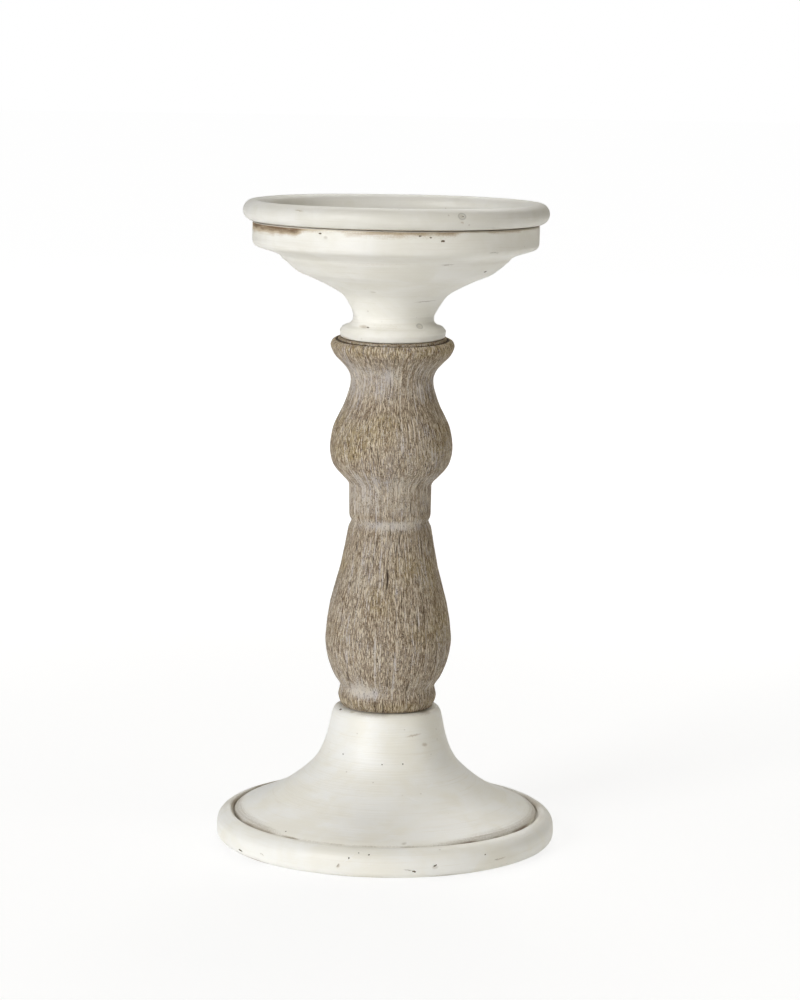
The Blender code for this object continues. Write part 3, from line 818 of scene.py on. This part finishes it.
PLINTH_MARKS = [
    (CHIP, -146.5, 67.0, 2.6, 1.6, 0.40, 8.0),
    (LINE, -134.5, 67.1, 4.3, 1.4, 0.25, 10.0),
    (GLAZE, -105.0, 67.2, 4.7, 1.1, 0.7, -40.0),
    (LINE, -105.0, 67.2, 4.9, 0.9, 0.28, -44.0),
    (SCRATCH, -101.5, 66.9, 8.1, 4.0, 0.30, -44.0),
    (CHIP, -101.5, 66.9, 8.1, 0.32, 0.28, 0.0),
    (CHIP, -98.5, 65.4, 10.1, 0.30, 0.28, 0.0),
    (CHIP, -95.0, 66.0, 9.5, 0.45, 0.30, 0.0),
    (CHIP, -80.0, 66.7, 3.5, 0.95, 0.36, 12.0),
    (LINE, -82.0, 66.9, 3.9, 2.0, 0.22, 8.0),
    (CHIP, -73.0, 67.2, 5.2, 0.75, 0.36, -42.0),
    (DENT, -73.0, 67.2, 4.6, 1.4, 0.9, 0.0),
    (CHIP, -54.5, 67.2, 7.3, 0.30, 0.28, 0.0),
    (GLAZE, -48.0, 67.2, 4.8, 3.0, 0.40, -6.0),
    (LINE, -50.0, 67.2, 4.7, 1.3, 0.28, -6.0),
    (CHIP, -54.0, 64.6, 0.8, 1.4, 0.40, 0.0),
    (CHIP, 5.0, 66.9, 3.9, 1.2, 0.5, 0.0),
    (CHIP, 38.0, 67.2, 7.4, 1.8, 0.45, 14.0),
    (CHIP, 91.0, 65.8, 2.4, 1.6, 0.45, 0.0),
    (LINE, 118.0, 67.3, 6.4, 3.0, 0.28, -20.0),
    (CHIP, 171.0, 66.6, 3.2, 1.3, 0.40, 0.0),
]


def press_marks(skin, marks):
    """Presses each mark into the skin, or raises it."""
    for kind, degrees, radius, height, wide, tall, lean in marks:
        skin.relief -= DEPTH[kind] * bump_at(skin, (degrees, radius, height), wide, tall, lean)


def brush_paint(skin, seed, shows):
    """Brush ridges round the piece, and slow unevenness under them."""
    a, s = skin.angle, skin.along
    ridges = 0.018 * drift(seed, a, s, 9, 0.9) + 0.012 * drift(seed + 1, a, s, 23, 0.5)
    waves = 0.08 * drift(seed + 2, a, s, 8, 12.0) + 0.035 * drift(seed + 3, a, s, 41, 4.0)
    skin.relief += (ridges + waves) * shows


# -------- pieces

def hole_cutter(name, centre, outline):
    """A round cutter: its outline is (radius, height) points from the top down."""
    sides = 40
    points = [point for radius, height in outline for point in circle_points(radius, height, sides, centre)]
    first_of_last = (len(outline) - 1) * sides
    caps = [tuple(range(sides)), tuple(reversed(range(first_of_last, first_of_last + sides)))]
    return add_mesh(name, (np.array(points) * MM).tolist(), ring_faces(len(outline), sides, down=True) + caps)


def holes_for(nodes, gap, low=None, high=None, head=None):
    """A cutter for each of these round CAD nodes, with a gap round it. head is a screw head's radius and top."""
    cutters = []
    for node in nodes:
        lowest, highest = (np.array(corner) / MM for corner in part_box(node))
        middle = (lowest + highest) / 2
        radius = (highest[0] - lowest[0]) / 2 + gap
        top = highest[2] + gap if high is None else high
        bottom = lowest[2] - gap if low is None else low
        outline = [(radius, top), (radius, bottom)]
        if head:
            outline = [(head[0], top), (head[0], head[1]), (radius, lowest[2] + 0.4), (radius, bottom)]
        cutters.append(hole_cutter("hole_" + node, (middle[0], middle[1]), outline))
    return cutters


def make_piece(skin, name, material, cutters=()):
    mesh = skin.mesh()
    mesh.materials.append(material)
    piece = add_object(name, mesh)
    drop_loose_points(mesh)
    for cutter in cutters:
        drill(piece, cutter)
    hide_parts(skin.node)
    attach(piece, BODY)
    return piece


def make_painted(skin, name, marks, cutters, painted_light_tone=1.0, glaze=OLIVE_BROWN):
    material = cream_paint("cream_paint_" + name, skin, marks, painted_light_tone, glaze)
    return make_piece(skin, name + "_painted", material, cutters)


def drop_loose_points(mesh):
    work = bmesh.new()
    work.from_mesh(mesh)
    bmesh.ops.delete(work, geom=[v for v in work.verts if not v.link_faces], context="VERTS")
    work.to_mesh(mesh)
    work.free()


def drill(piece, cutter):
    modifier = piece.modifiers.new("hole", "BOOLEAN")
    modifier.object = cutter
    modifier.operation = "DIFFERENCE"
    modifier.solver = "MANIFOLD"
    graph = bpy.context.evaluated_depsgraph_get()
    evaluated = piece.evaluated_get(graph)
    drilled = bpy.data.meshes.new_from_object(evaluated, preserve_all_data_layers=True, depsgraph=graph)
    piece.modifiers.clear()
    old, piece.data = piece.data, drilled
    bpy.data.meshes.remove(old)
    bpy.data.objects.remove(cutter)


def named(prefix):
    return sorted(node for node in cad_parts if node.startswith(prefix))


def make_dish():
    def pitch(radius, height):
        if height < 244.0 or radius < 1.0:
            return COARSE
        return 0.42 if radius > 46.5 else 1.6

    skin = Surface("candle_dish", 60.0, pitch, 760, solid=True)
    a, r, z = skin.angle, skin.radius, skin.height
    shows = rise(z, 244.0, 244.3) * rise(r, 1.0, 6.0)
    brush_paint(skin, 11, shows)
    press_marks(skin, DISH_MARKS)
    skin.aside = TOP_ASIDE
    # Painted shade: the hollow inside the dish's rim is greyed down.
    skin.fields["painted_shade"] = 0.38 * (1.0 - rise(r, 46.5, 52.0)) + 0.0 * a
    under = 1.0 - rise(z, 245.7, 246.4)
    crease = (1.0 - rise(np.hypot(r - 47.6, z - 244.6), 0.8, 3.2)) * (z < 250.0)
    skin.fields["glaze_and_shade"] = 1.0 * under * (r > 49.6) + crease * (0.32 + 0.22 * drift(17, a, z, 9, 30.0))
    # The dish's coat is darkened a little, as painted shade.
    return make_painted(skin, "dish", DISH_MARKS, holes_for(named("dish_dowel"), 0.3), 0.97)


def make_bowl():
    def pitch(radius, height):
        outside = height < 245.2 and radius > 15.5 and (radius > 20.9 or height > 201.3)
        recess = radius < 50.3 and height > 223.5 and radius < 0.98 * bowl_reach(height)
        return 0.5 if outside and not recess else COARSE

    skin = Surface("pan_bowl", 60.0, pitch, 500)
    a, r, z = skin.angle, skin.radius, skin.height
    first_inside = int(np.argmin(np.hypot(r[:, 0] - 20.5, z[:, 0] - 201.2)))
    outer = np.zeros((len(r), 1))
    outer[:first_inside] = 1.0
    outer[:2] = 0.0
    skin.aside = TOP_ASIDE * rise(z, 203.0, 216.0) * (r > 14.5)
    skin.lift = seam_tilt(a, r) * (1.0 - rise(z, 203.0, 208.0))
    brush_paint(skin, 21, outer)
    press_marks(skin, BOWL_MARKS)
    far_left = arc_window(a, -178.0, -134.0, 9.0)
    flaked = arc_window(a, -108.0, -68.0, 6.0)
    thick = np.maximum(np.maximum(far_left, flaked), 0.35 * arc_window(a, -134.0, -108.0, 6.0))
    thick = np.maximum(thick, 0.7 * arc_window(a, 20.0, 120.0, 20.0))
    streak = arc_window(a, -50.0, -34.0, 4.0)
    ragged = 0.7 * around(23, a, 40) + 0.5 * around(24, a, 120)
    reach = 1.0 + 2.4 * thick + 1.0 * far_left + 0.5 * streak + (0.3 + 0.7 * thick) * ragged
    fade = rise(z, 244.8 - reach, 244.9) * (0.18 + 0.36 * thick + 0.42 * far_left)
    under_rim = rise(z, 243.8, 244.8) * (0.10 * thick + 0.04 * flaked + 0.45 * streak)
    flow = 1.0 + 0.26 * around(25, a, 31) + 0.26 * drift(29, a, z, 90, 0.6)
    seam = 1.0 - rise(z, 201.3, 202.6)
    quirk = (1.0 - rise(np.hypot(r - 16.6, z - 206.2), 0.5, 2.4)) * 0.4
    step = (1.0 - rise(np.hypot(r - 45.0, z - 232.3), 0.4, 2.0)) * 0.2
    skin.fields["glaze_and_shade"] = outer * (
        (fade + under_rim) * flow
        + 0.5 * rise(z, 244.9, 245.5)
        + seam * (0.25 + 0.35 * around(26, a, 21))
        + quirk * (0.4 + 0.8 * drift(27, a, z, 12, 3.0))
        + step * (0.7 + 0.7 * drift(28, a, z, 14, 3.0))
    )
    return make_painted(skin, "bowl", BOWL_MARKS, holes_for(named("dish_dowel"), 0.3))


def bowl_reach(height):
    """About how wide the outside of the bowl is at this height."""
    heights = (201.2, 209.0, 217.0, 223.0, 227.0, 232.6, 234.7, 238.4)
    return float(np.interp(height, heights, (20.4, 15.8, 20.4, 30.0, 38.6, 45.3, 50.2, 56.0)))


def make_bell():
    def pitch(radius, height):
        return 0.5 if height > 10.3 and radius > 18.5 else COARSE

    skin = Surface("base_bell", 45.0, pitch, 620)
    a, r, z = skin.angle, skin.radius, skin.height
    outer = (rise(r, 17.5, 18.8) * rise(z, 10.0, 10.8)) * np.ones_like(r)
    brush_paint(skin, 31, outer)
    press_marks(skin, BELL_MARKS)
    # Glaze lies along the bell's margin all round; at the left and right of the view the band is widened and
    # darkened as painted shade of the groove.
    sides = np.maximum(arc_window(a, -215.0, -148.0, 22.0), arc_window(a, -48.0, 20.0, 30.0))
    wide = 1.6 + 4.6 * sides + 0.6 * around(33, a, 16) + 0.4 * around(34, a, 70)
    edge = rise(r, 60.4 - wide, 61.0) * (0.40 + 0.16 * sides)
    broken = np.maximum(0.0, around(38, a, 57) + 0.15)
    seam = rise(z, 51.8, 53.8) * (0.20 + 0.5 * np.maximum(0.0, around(35, a, 19)))
    streaks = 0.16 * np.maximum(0.0, drift(36, a, skin.along, 10, 9.0))
    streaks = streaks * rise(drift(37, a, skin.along, 7, 2.2), 0.1, 0.7)
    dark_bits = 0.5 * broken * rise(r, 59.9, 60.3)
    skin.fields["glaze_and_shade"] = outer * (np.minimum(edge, 0.46) + seam + streaks + dark_bits)
    pilots = holes_for(named("plinth_screw"), -1.6, low=9.0, high=21.3)
    # The bell's coat is lightened, as painted light.
    return make_painted(skin, "bell", BELL_MARKS, pilots, 1.05, GREY_GLAZE_AND_SHADE)


def make_plinth():
    def pitch(radius, height):
        if radius > 61.0:
            return 0.36
        return 3.0 if height < 2.9 and radius > 1.0 else COARSE

    skin = Surface("base_plinth", 22.5, pitch, 760, solid=True)
    a, r, z = skin.angle, skin.radius, skin.height
    shows = np.maximum(rise(r, 61.0, 61.8), 0.5 * (z < 3.0))
    brush_paint(skin, 41, shows * rise(r, 1.0, 6.0))
    press_marks(skin, PLINTH_MARKS)
    inner = (1.0 - rise(r, 61.2, 63.0)) * (z > 9.0)
    # Painted shadow: on the back of the inner slope, where the bell shades it from the two front lamps, a
    # glaze-coloured band is laid on.
    behind = np.maximum(arc_window(a, -6.0, 75.0, 16.0), arc_window(a, -240.0, -188.0, 16.0))
    shadowed_slope = (1.0 - rise(r, 62.5, 66.6)) * (z > 8.0) * behind
    foot = (1.0 - rise(z, 0.7, 2.0)) * (r > 60.0)
    below = 1.0 * (z < 3.0) * (r < 60.0)
    skin.fields["glaze_and_shade"] = (
        inner * (0.22 + 0.25 * around(43, a, 15) + 0.15 * arc_window(a, -200.0, -140.0, 25.0))
        + 0.42 * shadowed_slope * (0.8 + 0.4 * around(45, a, 37))
        + foot * (0.25 + 0.4 * around(44, a, 31))
        + below * 0.15
    )
    countersunk = holes_for(named("plinth_screw"), 0.3, low=-1.0, high=11.0, head=(2.3, 5.6))
    sockets = holes_for(named("felt_pad"), 0.3, low=-1.0)
    # The plinth's coat is lightened, as painted light.
    return make_painted(skin, "plinth", PLINTH_MARKS, countersunk + sockets, 1.05, GREY_GLAZE_AND_SHADE)


# Each crack's top (angle, height) and bottom (angle, height), then its width and depth.
COLUMN_CRACKS = [
    (-93.5, 113.2, -90.3, 102.6, 0.34, 0.75),
    (-72.5, 128.3, -82.5, 115.8, 0.24, 0.50),
    (-134.0, 72.0, -138.0, 62.0, 0.26, 0.50),
    (-62.0, 95.0, -60.0, 84.0, 0.20, 0.35),
    (-118.0, 175.5, -117.0, 166.0, 0.20, 0.30),
    (15.0, 112.0, 12.0, 96.0, 0.30, 0.60),
    (102.0, 88.0, 106.0, 72.0, 0.32, 0.65),
    (148.0, 186.0, 150.0, 171.0, 0.24, 0.45),
]

# Where the wash lies thick: the place (angle, radius, height), how wide and tall, and how much more of it.
WASH_PATCHES = [
    ((-118.5, 18.7, 62.2), 6.0, 2.6, 0.9),
    ((-86.0, 15.0, 128.0), 8.0, 1.6, 0.7),
    ((-101.5, 23.0, 76.0), 0.5, 8.0, 0.7),
    ((-92.5, 16.5, 186.3), 3.5, 3.0, 0.5),
    ((60.0, 16.5, 184.0), 6.0, 4.0, 0.5),
    ((110.0, 20.8, 64.0), 5.0, 3.0, 0.8),
]


def make_column():
    def pitch(radius, height):
        if radius < 12.0 or not 54.2 < height < 200.8:
            return COARSE
        return 0.7 if height > 196.0 else 1.6

    skin = Surface("column", 0.0, pitch, 840, even=20.0)
    a, r, z, s = skin.angle, skin.radius, skin.height, skin.along
    outer = rise(r, 12.0, 14.0) * between(z, 53.9, 54.4, 200.6, 200.9)
    skin.lift = seam_tilt(a, r) * rise(z, 192.0, 199.4)
    slow = 0.16 * drift(51, a, s, 7, 22.0) + 0.06 * drift(52, a, s, 19, 7.0)
    sway = 0.045 * drift(53, a, s, 8, 30.0) + 0.016 * drift(54, a, s, 23, 11.0)

    lines, pale, deep = carved_lines(skin, sway)
    fine = drift(61, a + sway, s, 236, 13.0)
    fibre = np.clip(fine, -0.2, 1.0)
    cracks = np.zeros_like(a + r)
    for top_angle, top, low_angle, low, width, depth in COLUMN_CRACKS:
        share = np.clip((top - z) / (top - low), 0.0, 1.0)
        line = np.radians(top_angle + (low_angle - top_angle) * share) + 0.02 * np.sin(share * 5.0)
        off = ((a - line + math.pi) % TURN - math.pi) * r
        ends = between(z, low, low + 2.5, top - 2.5, top)
        cracks = np.maximum(cracks, depth * ends * np.exp(-((off / width) ** 2)))
    bruise = bump_at(skin, (-117.0, 20.4, 173.0), 4.5, 1.2, -6.0)
    ragged = (1.0 - rise(z, 54.2, 56.0)) * (0.35 + 0.5 * around(64, a, 26))
    skin.relief += outer * (slow + 0.08 - 0.17 * lines - 0.06 * fibre - cracks - 0.3 * bruise - ragged)

    necks = (
        between(z, 174.0, 181.0, 189.0, 195.0)
        + 0.8 * between(z, 129.0, 134.0, 146.0, 150.0)
        + 0.9 * between(z, 124.5, 127.5, 129.0, 131.5)
        + 0.9 * between(z, 58.0, 61.0, 64.0, 70.0)
    )
    patches = drift(65, a, s, 6, 17.0) + 0.6 * drift(66, a, s, 15, 8.0)
    wash = 0.08 + 0.34 * necks + 0.20 * patches + pale * lines + 0.14 * drift(67, a + sway, s, 160, 9.0)
    for place, wide, tall, amount in WASH_PATCHES:
        wash = wash + amount * bump_at(skin, place, wide, tall)
    skin.fields["wash"] = outer * wash
    skin.fields["dark"] = outer * (
        1.3 * cracks
        + 0.9 * deep * lines
        + 0.3 * rise(fine, 0.35, 0.9)
        + 1.0 * (1.0 - rise(np.abs(z - 199.7), 0.15, 0.6)) * (r < 22.4)
        + 0.5 * (1.0 - rise(z, 54.2, 55.2))
    )
    skin.fields["ochre"] = outer * (
        0.8 * rise(z, 193.0, 197.0)
        + between(z, 150.0, 158.0, 168.0, 176.0) * (0.5 + 0.9 * drift(68, a, s, 11, 11.0))
        + (1.0 - rise(z, 57.0, 60.0)) * 0.6
        + between(z, 70.0, 82.0, 112.0, 124.0) * (0.35 + 0.8 * drift(69, a, s, 11, 14.0))
    )
    return make_piece(skin, "column_washed", whitewashed_wood())


def carved_lines(skin, sway):
    """Scratched lines down the column: how deep each point is in one, and where it is pale and where dark."""
    count = 150
    a, r, s = skin.angle, skin.radius, skin.along
    random = np.random.default_rng(71)
    lines = np.zeros(skin.relief.shape)
    pale, deep = np.zeros(skin.relief.shape), np.zeros(skin.relief.shape)
    bent = a + sway
    for k in range(count):
        centre = TURN * (k + random.uniform(-0.30, 0.30)) / count
        off = ((bent - centre + math.pi) % TURN - math.pi) * r
        near = np.abs(off) < 1.0
        here = np.full(skin.relief.shape, centre)
        width = 0.19 + 0.06 * drift(72, here, s, count, 10.0)
        strength = np.clip(0.45 + 1.1 * drift(73, here, s, count, 13.0), 0.0, 1.0)
        strength = strength * (0.65 + 0.5 * drift(75, here, s, count, 2.6))
        value = np.where(near, strength * np.exp(-((off / width) ** 2)), 0.0)
        dark = np.clip(3.0 * (drift(74, here, s, count, 5.0) - 0.15), 0.0, 1.0)
        deeper = value > lines
        pale = np.where(deeper, 1.0 - dark, pale)
        deep = np.where(deeper, dark, deep)
        lines = np.maximum(lines, value)
    return lines, pale, deep


def make_felt_pad(node, seed, material):
    """A soft felt disc: rounded at its edge, a little crowned below, with wool standing up from it."""
    lowest, highest = (np.array(corner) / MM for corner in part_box(node))
    centre = (lowest + highest) / 2
    radius, thick = (highest[0] - lowest[0]) / 2, highest[2] - lowest[2]
    sides, edge = 96, 0.5
    inner = [(radius - edge) * t for t in (0.12, 0.24, 0.36, 0.48, 0.6, 0.7, 0.8, 0.9, 1.0)]
    rim = [math.radians(t) for t in (20.0, 45.0, 70.0, 90.0)]
    below = [(r, 0.10 * (r / radius) ** 4) for r in inner]
    below += [(radius - edge + edge * math.sin(t), 0.08 + edge - edge * math.cos(t)) for t in rim]
    outline = below + [(r, thick - 0.05 - h) for r, h in reversed(below)]
    random = np.random.default_rng(seed)
    points = []
    for r, h in outline:
        for i in range(sides):
            turn, reach = TURN * i / sides, min(r + random.uniform(-0.05, 0.05), radius)
            height = float(np.clip(h + random.uniform(-0.04, 0.04), 0.0, thick))
            points.append((reach * math.cos(turn), reach * math.sin(turn), height))
    faces = ring_faces(len(outline), sides)
    last = (len(outline) - 1) * sides
    points += [(0.0, 0.0, 0.02), (0.0, 0.0, thick - 0.05)]
    for i in range(sides):
        j = (i + 1) % sides
        faces += [(len(points) - 2, j, i), (len(points) - 1, last + i, last + j)]
    shift = np.array([centre[0], centre[1], lowest[2]])
    pad = add_mesh(node + "_wool", ((np.array(points) + shift) * MM).tolist(), faces, material)
    pad.data.polygons.foreach_set("use_smooth", [True] * len(pad.data.polygons))
    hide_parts(node)
    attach(pad, BODY)


def finish_hardware(steel, wood):
    """The carried-over CAD nodes: steel rod, washers, nuts and screws, and beech dowels."""
    for name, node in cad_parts.items():
        if not node.hide_render:
            node.data.materials.clear()
            node.data.materials.append(wood if name.startswith("dish_dowel") else steel)


# -------- the scene

def main():
    make_camera()
    make_stage()
    make_dish()
    make_bowl()
    make_column()
    make_bell()
    make_plinth()
    felt = grey_felt()
    for i, node in enumerate(named("felt_pad")):
        make_felt_pad(node, 90 + i, felt)
    finish_hardware(zinc_steel(), beech())


main()
